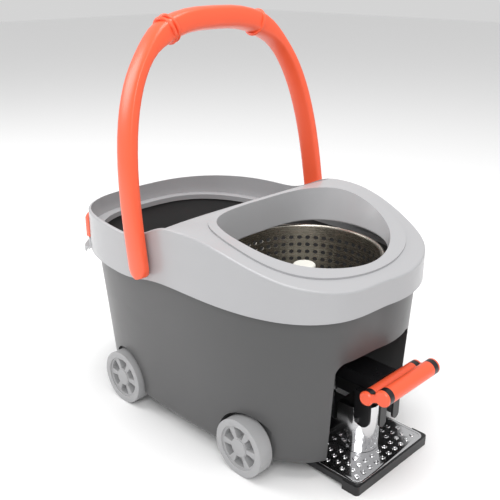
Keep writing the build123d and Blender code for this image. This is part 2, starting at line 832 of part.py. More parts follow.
with BuildPart() as gearbox_base:
    add(base_block)
    add(base_void, mode=Mode.SUBTRACT)
    add(bearing_pocket, mode=Mode.SUBTRACT)
    add(pin_socket, mode=Mode.SUBTRACT)
    add(screw_holes, mode=Mode.SUBTRACT)
    with BuildSketch(Plane.XY.offset(gearbox_floor)):
        with Locations((gearbox_rear + gearbox_wall + 1, guide_y)):
            Rectangle(40, guide_width, align=(Align.MIN, Align.MIN))
    extrude(amount=rack_level + gear_face - gearbox_floor - 1)
    with BuildSketch(Plane.XY.offset(gearbox_floor)):
        with Locations((gearbox_rear + gearbox_wall + 1, guide_y)):
            Rectangle(40, guide_width + 4, align=(Align.MIN, Align.MIN))
    extrude(amount=rack_level - gearbox_floor - guide_gap)
save(gearbox_base.part, "gearbox_base")

with BuildPart() as gearbox_cover:
    add(cover_block)
    add(cover_void, mode=Mode.SUBTRACT)
    add(cover_shaft_hole, mode=Mode.SUBTRACT)
    add(screw_holes, mode=Mode.SUBTRACT)
    with BuildSketch(Plane.XY.offset(gearbox_height - gearbox_wall - 1)):
        with Locations((window_rear, arm_outer_y - arm_clearance)):
            Rectangle(window_front - window_rear, arm_thickness + 2 * arm_clearance, align=(Align.MIN, Align.MIN))
    extrude(amount=gearbox_wall + 2, mode=Mode.SUBTRACT)
save(gearbox_cover.part, "gearbox_cover")

screw_shanks = upright(gearbox_height - screw_depth, gearbox_height, screw_radius, boss_places)
screw_heads = upright(gearbox_height, gearbox_height + screw_head_height, screw_head_radius, boss_places)
with BuildPart() as gearbox_screws:
    add(screw_shanks)
    add(screw_heads)
save(gearbox_screws.part, "gearbox_screws")

bracket_inner = gearbox_half_width + clear_gap
bracket_sheet = 3.0
bracket_length = 26.0
bracket_foot = 12.0
bracket_eye = 9.0


def xz_plane(y):
    """Upright plane facing the right-hand side: local x = X, local y = Z."""
    return Plane(origin=(0, y, 0), x_dir=(1, 0, 0), z_dir=(0, -1, 0))


with BuildPart() as pivot_bracket:
    for side in (-1, 1):
        with BuildSketch(xz_plane(side * bracket_inner)):
            with BuildLine():
                half = bracket_length / 2
                Polyline((pedal_pivot_x - bracket_eye, pedal_pivot_height), (pedal_pivot_x - half, tray_height),
                         (pedal_pivot_x + half, tray_height), (pedal_pivot_x + bracket_eye, pedal_pivot_height))
                ThreePointArc((pedal_pivot_x + bracket_eye, pedal_pivot_height),
                              (pedal_pivot_x, pedal_pivot_height + bracket_eye),
                              (pedal_pivot_x - bracket_eye, pedal_pivot_height))
            make_face()
            with Locations((pedal_pivot_x, pedal_pivot_height)):
                Circle(pedal_pin_radius, mode=Mode.SUBTRACT)
        extrude(amount=-side * bracket_sheet)
        with BuildSketch(Plane.XY.offset(tray_height)):
            with Locations((pedal_pivot_x, side * (bracket_inner + bracket_foot / 2))):
                Rectangle(bracket_length, bracket_foot)
        extrude(amount=bracket_sheet)
save(pivot_bracket.part, "pivot_bracket")

shaft_overhang = 2.0
with BuildPart() as pedal_shaft:
    with BuildSketch(xz_plane(0)):
        with Locations((pedal_pivot_x, pedal_pivot_height)):
            Circle(pedal_pin_radius)
    extrude(amount=bracket_inner + bracket_sheet + shaft_overhang, both=True)
save(pedal_shaft.part, "pedal_shaft")


def cover_outline(shrink, front_only):
    """Plan of the steel cover: straight sides and a half-round front."""
    back = tower_centre_x - 16 if front_only else cover_rear
    half = tower_radius - shrink
    with BuildSketch(Plane.XY.offset(plate_top)) as plan:
        with BuildLine():
            Polyline((tower_centre_x, half), (back + shrink, half), (back + shrink, -half), (tower_centre_x, -half))
            ThreePointArc((tower_centre_x, -half), (tower_centre_x + half, 0), (tower_centre_x, half))
        make_face()
    return plan.sketch


plunger_x = 190.0
plunger_radius = 4.0
plunger_gap = 0.5
with BuildPart() as mechanism_cover:
    add(cover_outline(0, False))
    extrude(amount=cover_height - plate_top)
    add(cover_outline(0, True))
    extrude(amount=tower_height - plate_top)
    add(cover_outline(sheet, False))
    extrude(amount=cover_height - sheet - plate_top, mode=Mode.SUBTRACT)
    add(cover_outline(sheet, True))
    extrude(amount=tower_height - sheet - plate_top, mode=Mode.SUBTRACT)
    with BuildSketch(Plane.XY.offset(plate_top)):
        with Locations((plunger_x, 0)):
            Circle(plunger_radius + plunger_gap)
    extrude(amount=tower_height, mode=Mode.SUBTRACT)
save(mechanism_cover.part, "mechanism_cover")

# ---------------------------------------------------------------------------
# Base tray and studded steel foot plate
# ---------------------------------------------------------------------------
tray_rear = gearbox_rear - 8
tray_underside = 4.0
with BuildPart() as base_tray:
    with BuildSketch(Plane.XY.offset(tray_underside)):
        with Locations(((tray_rear + tray_front) / 2, 0)):
            Rectangle(tray_front - tray_rear, 2 * tray_half_width - 1)
    extrude(amount=tray_height - tray_underside)
    with BuildSketch(Plane.XY):
        with Locations((tray_front - tray_pad_length / 2, 0)):
            Rectangle(tray_pad_length, 2 * tray_half_width + 3)
    extrude(amount=tray_height)
    fillet(base_tray.edges().filter_by(Axis.Z).group_by(Axis.X)[-1], 5)
    for side in (-1, 1):
        with Locations((60, side * (chamber_half_width + 9), tray_underside)):
            Box(50, 20, tub_floor_height - tray_underside, align=(Align.CENTER, Align.CENTER, Align.MIN))
save(base_tray.part, "base_tray")

plate_length = tray_front - 2 - plate_rear
with BuildPart() as foot_plate:
    with BuildSketch(Plane.XY.offset(tray_height)):
        with Locations((plate_rear + plate_length / 2, 0)):
            Rectangle(plate_length, 2 * tray_half_width - 6)
    extrude(amount=plate_thickness)
    fillet(foot_plate.edges().filter_by(Axis.Z).group_by(Axis.X)[-1], 6)
    for row in range(13):
        for column in range(8):
            stud_x = tray_front - 10 - column * bump_pitch
            stud_y = (row - 6) * bump_pitch / 1.15 + (0 if column % 2 else bump_pitch / 2.3)
            on_cover = stud_x < tower_centre_x + tower_radius + bump_radius and abs(stud_y) < tower_radius + bump_radius
            if not on_cover and abs(stud_y) < tray_half_width - 8:
                with Locations((stud_x, stud_y, plate_top)):
                    Cone(bump_radius, bump_radius * 0.5, bump_height, align=(Align.CENTER, Align.CENTER, Align.MIN))
save(foot_plate.part, "foot_plate")

screw_places = [(50, 79), (70, 79), (50, -79), (70, -79)]
with BuildPart() as tray_screws:
    for screw_x, screw_y in screw_places:
        with Locations((screw_x, screw_y, tray_underside - 2)):
            Cylinder(4, 2, align=(Align.CENTER, Align.CENTER, Align.MIN))
save(tray_screws.part, "tray_screws")

foot_places = [(tray_rear + 14, 50), (tray_rear + 14, -50)]
with BuildPart() as tray_feet:
    for foot_x, foot_y in foot_places:
        with Locations((foot_x, foot_y, 0)):
            Cylinder(9, tray_underside, align=(Align.CENTER, Align.CENTER, Align.MIN))
save(tray_feet.part, "tray_feet")

# ---------------------------------------------------------------------------
# Pedal: lever with drive arm, treadle bars, sleeves, end caps and skirt tabs
# ---------------------------------------------------------------------------
lever_half_width = 19.0
lever_top = pedal_pivot_height + 7
lever_bottom = pedal_pivot_height - 9
treadle_rear_x = treadle_x - treadle_bar_pitch
treadle_rear_height = treadle_height - treadle_bar_drop
lever_end = treadle_rear_x - treadle_rear_radius - clear_gap
bracket_plate = 6.0
tab_gap = 1.5
tab_wall = 3.0
tab_width = 22.0
tab_bottom = 58.0
tab_x = tower_centre_x + tower_radius - 2
tab_y = tower_radius + tab_gap
front_tab_x = tower_centre_x + tower_radius + 14.5
front_tab_y = 13.0
front_tab_width = 12.0
front_tab_bottom = 60.0
bar_skin = 1.8
ring_length = 8.0
cap_length = 3.5
ring_outer_y = treadle_half_length - cap_length
sleeve_half_length = ring_outer_y - ring_length - 0.1
arm_foot_radius = 5.0
lever_boss_radius = 9.0

with BuildPart() as pedal_lever:
    with BuildSketch(xz_plane(0)):
        with BuildLine():
            Polyline((pedal_pivot_x, lever_bottom), (lever_end, lever_bottom), (lever_end, lever_top),
                     (pedal_pivot_x, pedal_pivot_height + lever_boss_radius))
            ThreePointArc((pedal_pivot_x, pedal_pivot_height + lever_boss_radius),
                          (pedal_pivot_x - lever_boss_radius, pedal_pivot_height), (pedal_pivot_x, lever_bottom))
        make_face()
    extrude(amount=lever_half_width, both=True)
    with BuildSketch(xz_plane(arm_outer_y + arm_thickness)):
        with BuildLine():
            Polyline((pedal_pivot_x - arm_foot_radius - 1, pedal_pivot_height),
                     (pedal_pivot_x + arm_foot_radius + 1, pedal_pivot_height),
                     (pedal_pivot_x + arm_foot_radius, rack_pin_height),
                     (pedal_pivot_x - arm_foot_radius, rack_pin_height), close=True)
        make_face()
        with Locations((pedal_pivot_x, rack_pin_height)):
            Circle(arm_foot_radius)
        with Locations((pedal_pivot_x, pedal_pivot_height)):
            Circle(lever_boss_radius)
        with Locations((pedal_pivot_x, rack_pin_height)):
            Circle(rack_pin_radius, mode=Mode.SUBTRACT)
    extrude(amount=arm_thickness)
    with BuildSketch(xz_plane(0)):
        with Locations((pedal_pivot_x, pedal_pivot_height)):
            Circle(pedal_pin_radius + running_gap)
    extrude(amount=lever_half_width * 2, both=True, mode=Mode.SUBTRACT)
save(pedal_lever.part, "pedal_lever")

pin_inner_y = root_line - slot_depth - 0.4
with BuildPart() as rack_pin:
    with BuildSketch(xz_plane(pin_inner_y)):
        with Locations((pedal_pivot_x, rack_pin_height)):
            Circle(rack_pin_radius)
    extrude(amount=pin_inner_y - arm_outer_y + 0.5)
save(rack_pin.part, "rack_pin")

# Two thrust bushes centre the lever between the bracket's cheeks
bush_outer = 7.5
side_play = 0.1
with BuildPart() as lever_bushes:
    for side in (-1, 1):
        bush_start = (lever_half_width if side > 0 else -arm_outer_y) + side_play
        with BuildSketch(Plane(origin=(pedal_pivot_x, side * bush_start, pedal_pivot_height), z_dir=(0, side, 0))):
            Circle(bush_outer)
            Circle(pedal_pin_radius, mode=Mode.SUBTRACT)
        extrude(amount=bracket_inner - bush_start)
save(lever_bushes.part, "lever_bushes")

bars = ((treadle_x, treadle_height, treadle_radius), (treadle_rear_x, treadle_rear_height, treadle_rear_radius))


def bar_pair(inset, low, high):
    """Two parallel round bars between two distances along Y."""
    with BuildPart() as body:
        for bar_x, bar_z, bar_radius in bars:
            with BuildSketch(xz_plane(low)):
                with Locations((bar_x, bar_z)):
                    Circle(bar_radius - inset)
            extrude(amount=low - high)
    return body.part


bar_cores = bar_pair(bar_skin, ring_outer_y, -ring_outer_y)
end_rings = [bar_pair(0, ring_outer_y, ring_outer_y - ring_length),
             bar_pair(0, ring_length - ring_outer_y, -ring_outer_y)]

with BuildPart() as treadle_bracket:
    add(bar_cores)
    for end_ring in end_rings:
        add(end_ring)
    with BuildSketch(xz_plane(0)):
        with BuildLine():
            Polyline((tab_x - tab_width / 2, lever_bottom), (tab_x - tab_width / 2, lever_bottom - bracket_plate),
                     (front_tab_x + tab_wall, lever_bottom - bracket_plate),
                     (treadle_x + 1, treadle_height - treadle_radius + bar_skin),
                     (treadle_x - 3, treadle_height), (treadle_rear_x, treadle_rear_height + 2),
                     (treadle_rear_x - 2, lever_bottom), close=True)
        make_face()
    extrude(amount=tab_y + tab_wall, both=True)
    for side in (-1, 1):
        with BuildSketch(xz_plane(side * tab_y)):
            with Locations((tab_x, (lever_bottom + tab_bottom) / 2)):
                Rectangle(tab_width, lever_bottom - tab_bottom - tab_width)
            with Locations((tab_x, lever_bottom - tab_width / 2)):
                Rectangle(tab_width, tab_width)
            with Locations((tab_x, tab_bottom + tab_width / 2)):
                Circle(tab_width / 2)
        extrude(amount=-side * tab_wall)
        with BuildSketch(Plane(origin=(front_tab_x, side * front_tab_y, 0), x_dir=(0, 1, 0), z_dir=(1, 0, 0))):
            with Locations((0, front_tab_bottom + front_tab_width / 2)):
                Circle(front_tab_width / 2)
                Rectangle(front_tab_width, lever_bottom - front_tab_bottom - front_tab_width / 2,
                          align=(Align.CENTER, Align.MIN))
        extrude(amount=tab_wall)
save(treadle_bracket.part, "treadle_bracket")

front_blank = bar_pair(0, sleeve_half_length, -sleeve_half_length)
sleeve_blank = front_blank - treadle_bracket.part
sleeve_parts = sleeve_blank.solids().sort_by(Axis.X)
front_sleeve = [solid for solid in sleeve_parts if solid.center().X > (treadle_x + treadle_rear_x) / 2]
rear_sleeve = [solid for solid in sleeve_parts if solid.center().X <= (treadle_x + treadle_rear_x) / 2]
with BuildPart() as treadle_sleeve_front:
    add(front_sleeve)
save(treadle_sleeve_front.part, "treadle_sleeve_front")
with BuildPart() as treadle_sleeve_rear:
    add(rear_sleeve)
save(treadle_sleeve_rear.part, "treadle_sleeve_rear")

for name, side in (("right", -1), ("left", 1)):
    with BuildPart() as treadle_cap:
        for bar_x, bar_z, bar_radius in bars:
            with BuildSketch(Plane(origin=(bar_x, side * ring_outer_y, bar_z), z_dir=(0, side, 0))):
                Circle(bar_radius)
            extrude(amount=cap_length - 1.5)
            with BuildSketch(Plane(origin=(bar_x, side * (ring_outer_y + cap_length - 1.5), bar_z),
                                   z_dir=(0, side, 0))):
                Circle(bar_radius)
            extrude(amount=1.5, taper=40)
        middle = ((treadle_x + treadle_rear_x) / 2, side * ring_outer_y, (treadle_height + treadle_rear_height) / 2)
        with BuildSketch(Plane(origin=middle, x_dir=(treadle_bar_pitch, 0, treadle_bar_drop), z_dir=(0, side, 0))):
            Rectangle(treadle_bar_pitch, 9)
        extrude(amount=cap_length - 1.5)
    save(treadle_cap.part, f"treadle_cap_{name}")

# Screws through the bracket plate into the lever
with BuildPart() as bracket_screws:
    for side in (-1, 1):
        with BuildSketch(Plane.XY.offset(lever_bottom - bracket_plate - 1.4)):
            with Locations((lever_end - 7, side * 13)):
                Circle(3.2)
        extrude(amount=1.4)
save(bracket_screws.part, "bracket_screws")

# Bolt heads low on the outer faces of the side tabs
tab_bolt_radius = 3.0
tab_bolt_height = 2.0
tab_bolt_inset = 5.5
with BuildPart() as tab_bolts:
    for side in (-1, 1):
        bolt_seat = (tab_x - tab_bolt_inset, side * (tab_y + tab_wall), tab_bottom + tab_bolt_inset + 1)
        with BuildSketch(Plane(origin=bolt_seat, z_dir=(0, side, 0))):
            Circle(tab_bolt_radius)
        extrude(amount=tab_bolt_height)
save(tab_bolts.part, "tab_bolts")

# ---------------------------------------------------------------------------
# Plunger and return spring under the lever
# ---------------------------------------------------------------------------
plunger_head_radius = 8.0
plunger_head_length = 3.0
plunger_head_top = tower_height - sheet - 1.5
plunger_top = lever_bottom - clear_gap
spring_radius = 6.2
spring_wire = 0.9
spring_turns = 7
spring_foot = plate_top + 0.3

with BuildPart() as push_rod:
    with BuildSketch(Plane.XY.offset(plunger_head_top - plunger_head_length)):
        with Locations((plunger_x, 0)):
            Circle(plunger_head_radius)
    extrude(amount=plunger_head_length)
    with BuildSketch(Plane.XY.offset(plunger_head_top)):
        with Locations((plunger_x, 0)):
            Circle(plunger_radius)
    extrude(amount=plunger_top - plunger_head_top)
    fillet(push_rod.faces().sort_by(Axis.Z)[-1].edges(), plunger_radius - 1)
save(push_rod.part, "push_rod")

spring_low = spring_foot + spring_wire
spring_high = plunger_head_top - plunger_head_length - spring_wire - 0.3
with BuildPart() as return_spring:
    with BuildLine() as coil:
        Helix(pitch=(spring_high - spring_low) / spring_turns, height=spring_high - spring_low,
              radius=spring_radius, center=(plunger_x, 0, spring_low))
    with BuildSketch(Plane(origin=coil.line @ 0, z_dir=coil.line % 0)):
        Circle(spring_wire)
    sweep(path=coil.line, is_frenet=True)
save(return_spring.part, "return_spring")

# ---------------------------------------------------------------------------
# Small fittings: the circlip that holds the shaft down on the output gear
# ---------------------------------------------------------------------------
save(ring(step_level + gear_face + 0.3, 1.2, shaft_radius + 3, shaft_radius), "shaft_circlip")
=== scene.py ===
import json
import math

import bpy
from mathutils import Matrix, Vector

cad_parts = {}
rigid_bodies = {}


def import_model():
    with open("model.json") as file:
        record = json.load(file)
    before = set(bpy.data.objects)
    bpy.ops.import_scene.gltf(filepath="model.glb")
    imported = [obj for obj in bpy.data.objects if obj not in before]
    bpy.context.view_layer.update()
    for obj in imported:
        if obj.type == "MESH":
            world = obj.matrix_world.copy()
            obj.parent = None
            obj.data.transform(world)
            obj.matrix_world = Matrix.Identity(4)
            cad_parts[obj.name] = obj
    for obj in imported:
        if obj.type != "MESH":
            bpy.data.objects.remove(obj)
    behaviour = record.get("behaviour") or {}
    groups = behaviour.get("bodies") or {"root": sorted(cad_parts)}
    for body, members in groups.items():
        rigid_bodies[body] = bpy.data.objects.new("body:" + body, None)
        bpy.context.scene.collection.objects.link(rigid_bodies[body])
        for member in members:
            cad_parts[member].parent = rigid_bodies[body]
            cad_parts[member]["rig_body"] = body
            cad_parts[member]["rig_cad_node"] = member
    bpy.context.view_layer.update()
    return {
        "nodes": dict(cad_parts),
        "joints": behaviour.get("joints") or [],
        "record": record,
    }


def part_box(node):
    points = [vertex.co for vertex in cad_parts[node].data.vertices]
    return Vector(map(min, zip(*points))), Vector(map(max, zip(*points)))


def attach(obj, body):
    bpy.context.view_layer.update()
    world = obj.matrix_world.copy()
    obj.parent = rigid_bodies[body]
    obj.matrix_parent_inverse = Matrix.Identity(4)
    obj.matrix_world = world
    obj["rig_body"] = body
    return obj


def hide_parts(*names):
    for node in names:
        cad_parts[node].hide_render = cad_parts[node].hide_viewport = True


bl_info = {
    "name": "Spin Mop Bucket",
    "version": (1, 0, 0),
    "blender": (4, 5, 0),
    "location": "View3D > Sidebar > Bucket",
    "description": "Finishes a pedal-driven spin-mop bucket; models its handle, basket, wheels and plate",
    "category": "Object",
}

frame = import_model()
record = frame["record"]
JOINTS = {joint["name"]: joint for joint in frame["joints"]}
WHEELS = ("rear_right", "rear_left", "front_right", "front_left")
TOUCHING = 0.0001    # metres: nearer than this counts as level
FACING = 0.9         # a face looks along an axis when its normal has this much of it
MATERIALS = {}


# ----------------------------------------------------------------------------------------------
# Sizes and colours
# ----------------------------------------------------------------------------------------------
def length(name, description, default):
    return bpy.props.FloatProperty(name=name, description=description, default=default, unit="LENGTH")


def colour(name, description, default):
    return bpy.props.FloatVectorProperty(name=name, description=description, default=default,
                                         subtype="COLOR", size=3, min=0.0, max=1.0)


class BucketSizes(bpy.types.PropertyGroup):
    """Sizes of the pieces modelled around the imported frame"""
    handle_rise: length("Handle rise", "Pivot to the crown's centre line", 0.272)
    handle_width: length("Handle width", "Width of a leg, front to back", 0.0280)
    handle_thickness: length("Handle thickness", "Thickness of a leg", 0.0142)
    grip_diameter: length("Grip diameter", "Thickness of the crown's grip", 0.0300)
    hole_diameter: length("Basket hole", "Diameter of a drain hole in the basket", 0.0052)
    sheet_thickness: length("Basket sheet", "Thickness of the basket's steel", 0.0009)
    stud_diameter: length("Tread stud", "Diameter of a raised stud on the foot plate", 0.0085)
    stud_pitch: length("Stud pitch", "Distance between neighbouring studs", 0.0125)
    spoke_dish: length("Wheel dish", "Depth of the pockets between the spokes", 0.009)


class BucketColours(bpy.types.PropertyGroup):
    """Base colours of the mouldings and metals"""
    tub: colour("Tub", "Dark tub plastic", (0.070, 0.070, 0.071))
    collar: colour("Collar", "Light grey collar plastic", (0.40, 0.40, 0.41))
    orange: colour("Orange", "Handle and treadle plastic", (0.90, 0.115, 0.045))
    wheel: colour("Wheel", "Wheel plastic", (0.35, 0.35, 0.355))
    black: colour("Black", "Pedal frame and tray plastic", (0.008, 0.008, 0.009))
    rubber: colour("Rubber", "Feet and seal", (0.012, 0.012, 0.012))
    hub: colour("Hub", "Basket hub plastic", (0.74, 0.74, 0.68))
    gear: colour("Gear", "Natural gear plastic", (0.66, 0.63, 0.54))
    steel: colour("Steel", "Plated screws and shafts", (0.42, 0.42, 0.43))
    basket: colour("Basket steel", "Warm stainless sheet", (0.46, 0.43, 0.38))
    plate: colour("Polished steel", "Foot plate and cover", (0.72, 0.72, 0.73))


# ----------------------------------------------------------------------------------------------
# Shader node groups
# ----------------------------------------------------------------------------------------------
def new_group(name, inputs, outputs):
    group = bpy.data.node_groups.new(name, "ShaderNodeTree")
    for label, kind, default in inputs:
        socket = group.interface.new_socket(name=label, in_out="INPUT", socket_type=kind)
        socket.default_value = default
    for label, kind in outputs:
        group.interface.new_socket(name=label, in_out="OUTPUT", socket_type=kind)
    start = group.nodes.new("NodeGroupInput")
    end = group.nodes.new("NodeGroupOutput")
    return group, start, end


def maths(tree, operation, first, second):
    node = tree.nodes.new("ShaderNodeMath")
    node.operation = operation
    for index, value in enumerate((first, second)):
        if isinstance(value, (int, float)):
            node.inputs[index].default_value = value
        else:
            tree.links.new(value, node.inputs[index])
    return node.outputs[0]


def noise(tree, vector, scale, detail, roughness=0.5):
    node = tree.nodes.new("ShaderNodeTexNoise")
    node.inputs["Scale"].default_value = scale
    node.inputs["Detail"].default_value = detail
    node.inputs["Roughness"].default_value = roughness
    tree.links.new(vector, node.inputs["Vector"])
    return node.outputs["Fac"]


def object_vector(tree, stretch=(1.0, 1.0, 1.0)):
    coordinates = tree.nodes.new("ShaderNodeTexCoord")
    mapping = tree.nodes.new("ShaderNodeMapping")
    mapping.inputs["Scale"].default_value = stretch
    tree.links.new(coordinates.outputs["Object"], mapping.inputs["Vector"])
    return mapping.outputs["Vector"]


def build_moulding_group():
    """Moulded plastic: slow colour drift, handling marks in the gloss and a fine spark-eroded grain."""
    group, start, end = new_group(
        "Moulded Plastic",
        [("Colour", "NodeSocketColor", (0.5, 0.5, 0.5, 1.0)), ("Gloss", "NodeSocketFloat", 0.3),
         ("Marks", "NodeSocketFloat", 0.08), ("Drift", "NodeSocketFloat", 0.06),
         ("Grain", "NodeSocketFloat", 0.5)],
        [("Colour", "NodeSocketColor"), ("Roughness", "NodeSocketFloat"), ("Height", "NodeSocketFloat")])
    links = group.links
    place = object_vector(group)
    slow = noise(group, place, 9.0, 2.0)
    smear = noise(group, place, 38.0, 5.0, 0.62)
    grain = noise(group, place, 1500.0, 2.0)
    ripple = noise(group, place, 26.0, 1.0)
    drift = maths(group, "MULTIPLY", maths(group, "SUBTRACT", slow, 0.5), start.outputs["Drift"])
    level = maths(group, "ADD", drift, 1.0)
    tint = group.nodes.new("ShaderNodeVectorMath")
    tint.operation = "SCALE"
    links.new(start.outputs["Colour"], tint.inputs[0])
    links.new(level, tint.inputs["Scale"])
    links.new(tint.outputs[0], end.inputs["Colour"])
    marks = maths(group, "MULTIPLY", maths(group, "SUBTRACT", smear, 0.5), start.outputs["Marks"])
    links.new(maths(group, "ADD", marks, start.outputs["Gloss"]), end.inputs["Roughness"])
    fine = maths(group, "MULTIPLY", grain, start.outputs["Grain"])
    links.new(maths(group, "ADD", fine, maths(group, "MULTIPLY", ripple, 0.6)), end.inputs["Height"])
    return group


def build_brushed_group():
    """Brushed or spun sheet: streaks along one direction in gloss, tint and height."""
    group, start, end = new_group(
        "Brushed Sheet",
        [("Vector", "NodeSocketVector", (0.0, 0.0, 0.0)),
         ("Colour", "NodeSocketColor", (0.5, 0.5, 0.5, 1.0)), ("Gloss", "NodeSocketFloat", 0.2),
         ("Streaks", "NodeSocketFloat", 0.12), ("Tarnish", "NodeSocketFloat", 0.1)],
        [("Colour", "NodeSocketColor"), ("Roughness", "NodeSocketFloat"), ("Height", "NodeSocketFloat")])
    links = group.links
    streak = noise(group, start.outputs["Vector"], 60.0, 6.0, 0.7)
    cloud = noise(group, object_vector(group), 22.0, 4.0, 0.6)
    tarnish = maths(group, "MULTIPLY", maths(group, "SUBTRACT", cloud, 0.5), start.outputs["Tarnish"])
    level = maths(group, "ADD", tarnish, 1.0)
    tint = group.nodes.new("ShaderNodeVectorMath")
    tint.operation = "SCALE"
    links.new(start.outputs["Colour"], tint.inputs[0])
    links.new(level, tint.inputs["Scale"])
    links.new(tint.outputs[0], end.inputs["Colour"])
    rough = maths(group, "MULTIPLY", maths(group, "SUBTRACT", streak, 0.5), start.outputs["Streaks"])
    links.new(maths(group, "ADD", rough, start.outputs["Gloss"]), end.inputs["Roughness"])
    links.new(streak, end.inputs["Height"])
    return group


# ----------------------------------------------------------------------------------------------
# Materials
# ----------------------------------------------------------------------------------------------
def empty_material(name):
    material = bpy.data.materials.new(name)
    material.use_nodes = True
    shader = material.node_tree.nodes["Principled BSDF"]
    return material, material.node_tree, shader


def connect(tree, effect, shader, bump_depth, bump_strength):
    tree.links.new(effect.outputs["Colour"], shader.inputs["Base Color"])
    tree.links.new(effect.outputs["Roughness"], shader.inputs["Roughness"])
    bump = tree.nodes.new("ShaderNodeBump")
    bump.inputs["Strength"].default_value = bump_strength
    bump.inputs["Distance"].default_value = bump_depth
    tree.links.new(effect.outputs["Height"], bump.inputs["Height"])
    tree.links.new(bump.outputs["Normal"], shader.inputs["Normal"])


def plastic(name, base, gloss, marks, drift, grain):
    material, tree, shader = empty_material(name)
    effect = tree.nodes.new("ShaderNodeGroup")
    effect.node_tree = bpy.data.node_groups["Moulded Plastic"]
    effect.inputs["Colour"].default_value = (*base, 1.0)
    effect.inputs["Gloss"].default_value = gloss
    effect.inputs["Marks"].default_value = marks
    effect.inputs["Drift"].default_value = drift
    effect.inputs["Grain"].default_value = grain
    connect(tree, effect, shader, bump_depth=0.00012, bump_strength=0.35)
    return material


def metal(name, base, gloss, streaks, tarnish, stretch):
    material, tree, shader = empty_material(name)
    effect = tree.nodes.new("ShaderNodeGroup")
    effect.node_tree = bpy.data.node_groups["Brushed Sheet"]
    tree.links.new(object_vector(tree, stretch), effect.inputs["Vector"])
    effect.inputs["Colour"].default_value = (*base, 1.0)
    effect.inputs["Gloss"].default_value = gloss
    effect.inputs["Streaks"].default_value = streaks
    effect.inputs["Tarnish"].default_value = tarnish
    shader.inputs["Metallic"].default_value = 1.0
    connect(tree, effect, shader, bump_depth=0.00004, bump_strength=0.25)
    return material


def build_materials(colours):
    """One material per slot: gloss, marks, drift and grain, or gloss, streaks, tarnish and stretch."""
    build_moulding_group()
    build_brushed_group()
    return {
        "tub_grey": plastic("Tub Grey Plastic", colours.tub, 0.34, 0.10, 0.10, 0.5),
        "collar_grey": plastic("Collar Grey Plastic", colours.collar, 0.24, 0.07, 0.03, 0.3),
        "orange": plastic("Orange Plastic", colours.orange, 0.30, 0.08, 0.06, 0.4),
        "wheel_grey": plastic("Wheel Grey Plastic", colours.wheel, 0.42, 0.10, 0.08, 0.7),
        "black_plastic": plastic("Black Plastic", colours.black, 0.30, 0.14, 0.3, 0.8),
        "black_rubber": plastic("Black Rubber", colours.rubber, 0.66, 0.12, 0.3, 1.0),
        "hub_white": plastic("Hub White Plastic", colours.hub, 0.33, 0.08, 0.05, 0.5),
        "gear_plastic": plastic("Natural Gear Plastic", colours.gear, 0.38, 0.08, 0.06, 0.5),
        "steel": metal("Plated Steel", colours.steel, 0.28, 0.14, 0.2, (3.0, 3.0, 3.0)),
        "stainless": metal("Spun Stainless", colours.basket, 0.27, 0.18, 0.35, (1.0, 1.0, 22.0)),
        "polished_stainless": metal("Polished Stainless", colours.plate, 0.13, 0.10, 0.12,
                                    (22.0, 22.0, 1.0)),
    }


# ----------------------------------------------------------------------------------------------
# Modelling helpers
# ----------------------------------------------------------------------------------------------
def clear_selection():
    if bpy.context.mode != "OBJECT":
        bpy.ops.object.mode_set(mode="OBJECT")
    bpy.ops.object.select_all(action="DESELECT")


def started(name):
    """The primitive just added, named and in edit mode."""
    piece = bpy.context.view_layer.objects.active
    piece.name = name
    piece.data.name = name
    bpy.ops.object.mode_set(mode="EDIT")
    return piece


def pick(piece, faces=None, edges=None):
    """Select faces or edges of the piece being edited by a test on each."""
    bpy.ops.mesh.select_all(action="DESELECT")
    bpy.ops.mesh.select_mode(type="FACE" if faces else "EDGE")
    bpy.ops.object.mode_set(mode="OBJECT")
    for elements, test in ((piece.data.polygons, faces), (piece.data.edges, edges)):
        if test:
            for element in elements:
                element.select = bool(test(element))
    bpy.ops.object.mode_set(mode="EDIT")


def make_active(piece):
    clear_selection()
    bpy.context.view_layer.objects.active = piece
    piece.select_set(True)


def put_in_scene(piece):
    bpy.context.scene.collection.objects.link(piece)


def own_copy(source, name):
    """Copy of a piece with its own mesh."""
    copy = source.copy()
    copy.data = source.data.copy()
    copy.name = name
    copy.data.name = name
    put_in_scene(copy)
    return copy


def add_bevel(piece, width, segments, degrees=30.0):
    """Round the edges that turn by more than an angle."""
    edge = piece.modifiers.new("Edges", "BEVEL")
    edge.width = width
    edge.segments = segments
    edge.limit_method = "ANGLE"
    edge.angle_limit = math.radians(degrees)


def add_sheet(piece, thickness, offset):
    sheet = piece.modifiers.new("Sheet", "SOLIDIFY")
    sheet.thickness = thickness
    sheet.offset = offset


def apply_modifiers(piece):
    make_active(piece)
    for modifier in list(piece.modifiers):
        bpy.ops.object.modifier_apply(modifier=modifier.name)


def settle(piece, angle=35.0):
    """Put the piece's place into its mesh, and smooth the faces that meet at a small angle."""
    make_active(piece)
    bpy.ops.object.transform_apply(location=True, rotation=True, scale=True)
    bpy.ops.object.shade_smooth_by_angle(angle=math.radians(angle))


def tidy_mesh(piece):
    """Merge doubles and point the faces outward."""
    make_active(piece)
    bpy.ops.object.mode_set(mode="EDIT")
    bpy.ops.mesh.select_all(action="SELECT")
    bpy.ops.mesh.remove_doubles(threshold=0.00001)
    bpy.ops.mesh.normals_make_consistent(inside=False)
    bpy.ops.object.mode_set(mode="OBJECT")


def joined(pieces, name):
    clear_selection()
    for piece in pieces:
        piece.select_set(True)
    bpy.context.view_layer.objects.active = pieces[0]
    bpy.ops.object.join()
    whole = bpy.context.view_layer.objects.active
    whole.name = name
    whole.data.name = name
    return whole


def finish_piece(piece, body, slot, *nodes):
    piece.data.materials.clear()
    piece.data.materials.append(MATERIALS[slot])
    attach(piece, body)
    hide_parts(*nodes)


